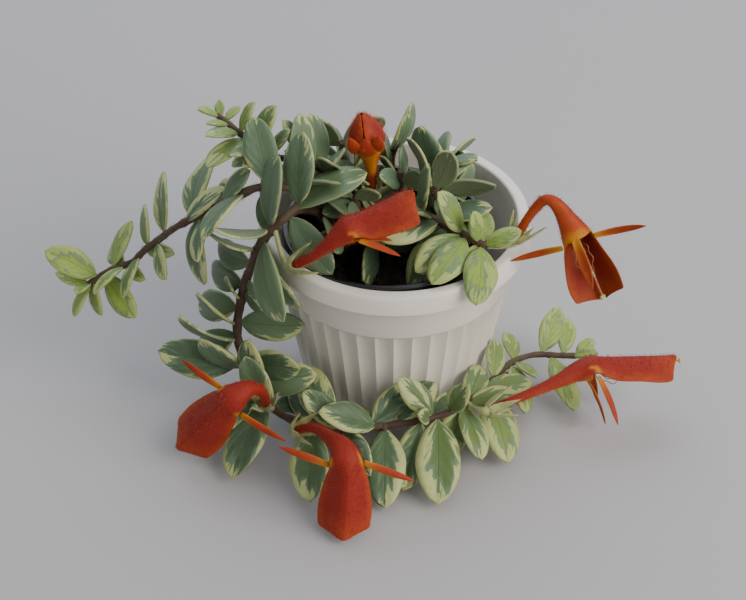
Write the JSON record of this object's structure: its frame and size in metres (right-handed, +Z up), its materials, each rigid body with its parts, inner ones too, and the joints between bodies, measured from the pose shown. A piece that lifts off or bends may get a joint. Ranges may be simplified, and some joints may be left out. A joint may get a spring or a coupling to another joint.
{
  "type": "potted goldfish plant",
  "caption": "Trailing variegated goldfish plant with long two-lipped orange-red blooms, growing in a black nursery pot set in a fluted white pot.",
  "frame": {"origin": "centre of the white pot's flat base", "axes": "+Z up, +X along the longest way across the plant, -Y towards the side where the long stem trails round the pot"},
  "size_m": [0.2433, 0.155, 0.1221],
  "materials": {
    "white_plastic": "satin",
    "black_plastic": "gloss",
    "potting_soil": "loose bark and peat",
    "leaf": "satin, with fine hairs",
    "petal": "velvety",
    "calyx": "hairy",
    "filament": "satin",
    "pistil": "satin"
  },
  "bodies": {
    "root": {"pot": "white_plastic", "nursery_pot": "black_plastic", "soil": "potting_soil", "stem_trailing": "leaf", "stem_left": "leaf", "stem_upper_left": "leaf", "stem_right": "leaf", "stem_crown_middle": "leaf", "stem_crown_centre": "leaf", "stem_crown_back": "leaf", "stem_crown_right": "leaf", "stem_crown_left": "leaf", "stem_crown_far": "leaf", "bloom_1_corolla": "petal", "bloom_1_calyx": "calyx", "bloom_1_stamens": "filament", "bloom_1_pistil": "pistil", "bloom_2_corolla": "petal", "bloom_2_calyx": "calyx", "bloom_2_stamens": "filament", "bloom_2_pistil": "pistil", "bloom_3_corolla": "petal", "bloom_3_calyx": "calyx", "bloom_3_stamens": "filament", "bloom_3_pistil": "pistil", "bloom_4_corolla": "petal", "bloom_4_calyx": "calyx", "bloom_4_stamens": "filament", "bloom_4_pistil": "pistil", "bloom_5_corolla": "petal", "bloom_5_calyx": "calyx", "bloom_5_stamens": "filament", "bloom_5_pistil": "pistil", "bloom_6_corolla": "petal", "bloom_6_calyx": "calyx", "bloom_6_stamens": "filament", "bloom_6_pistil": "pistil"}
  },
  "joints": []
}
